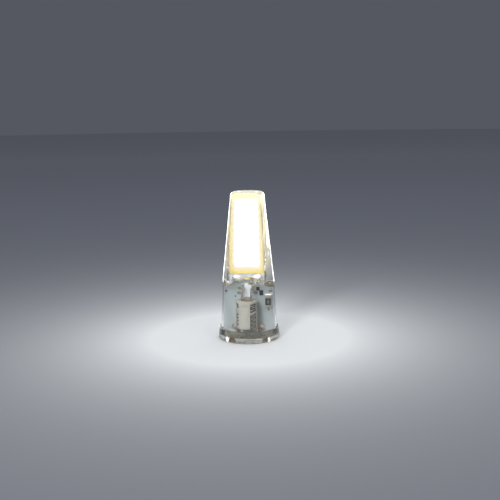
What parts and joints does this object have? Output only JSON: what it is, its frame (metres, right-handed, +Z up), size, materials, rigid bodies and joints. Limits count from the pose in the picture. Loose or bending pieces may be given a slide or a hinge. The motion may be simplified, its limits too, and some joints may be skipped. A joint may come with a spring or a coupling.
{
  "type": "led capsule bulb",
  "caption": "Clear tapered capsule lamp on a flat clear cap with a pair of straight contact pins; a lit LED strip and its driver board show inside.",
  "frame": {"origin": "centre of the cap's underside, midway between the two contact pins", "axes": "+Z up the lamp's axis towards the top of the cover, the two pins on the X axis pointing to -Z, the front LED board facing -Y"},
  "size_m": [0.0118, 0.0118, 0.0355],
  "materials": {
    "clear_plastic": "clear injection-moulded polycarbonate, polished",
    "solder_mask": "white solder mask on glass-fibre laminate, satin",
    "led_board": "white reflective board face, satin",
    "led_chip": "sapphire dice under the phosphor layer",
    "phosphor": "yellow phosphor in cast silicone, lit",
    "solder": "bright solder with a rippled skin",
    "tinned_wire": "tinned steel wire, bright",
    "pin_metal": "nickel-plated brass wire",
    "can_aluminium": "drawn aluminium, bright",
    "sleeve_film": "shrunk sleeve film, pale grey with a dark stripe",
    "rubber_bung": "dark moulded rubber",
    "chip_ceramic": "alumina, matte",
    "resistor_glaze": "black glaze",
    "plated_end": "tin-plated, satin",
    "black_epoxy": "black moulded epoxy, fine spark-eroded texture"
  },
  "bodies": {
    "root": {"base_cap": "clear_plastic", "capacitor_bung": "rubber_bung", "capacitor_can": "can_aluminium", "capacitor_lead_left": "tinned_wire", "capacitor_lead_right": "tinned_wire", "capacitor_sleeve": "sleeve_film", "clear_cover": "clear_plastic", "contact_pin_left": "pin_metal", "contact_pin_right": "pin_metal", "driver_board": "solder_mask", "lead_joint_left": "solder", "lead_joint_right": "solder", "led_board_back": "led_board", "led_board_front": "led_board", "led_chips_back": "led_chip", "led_chips_front": "led_chip", "led_joint_back_left": "solder", "led_joint_back_right": "solder", "led_joint_front_left": "solder", "led_joint_front_right": "solder", "phosphor_back": "phosphor", "phosphor_front": "phosphor", "pin_joint_left": "solder", "pin_joint_right": "solder", "rectifier_case": "black_epoxy", "rectifier_joint_1": "solder", "rectifier_joint_2": "solder", "rectifier_joint_3": "solder", "rectifier_joint_4": "solder", "rectifier_leg_1": "tinned_wire", "rectifier_leg_2": "tinned_wire", "rectifier_leg_3": "tinned_wire", "rectifier_leg_4": "tinned_wire", "resistor_cap_lower": "plated_end", "resistor_cap_upper": "plated_end", "resistor_chip": "chip_ceramic", "resistor_glaze": "resistor_glaze", "resistor_joint_lower": "solder", "resistor_joint_upper": "solder"}
  },
  "joints": []
}
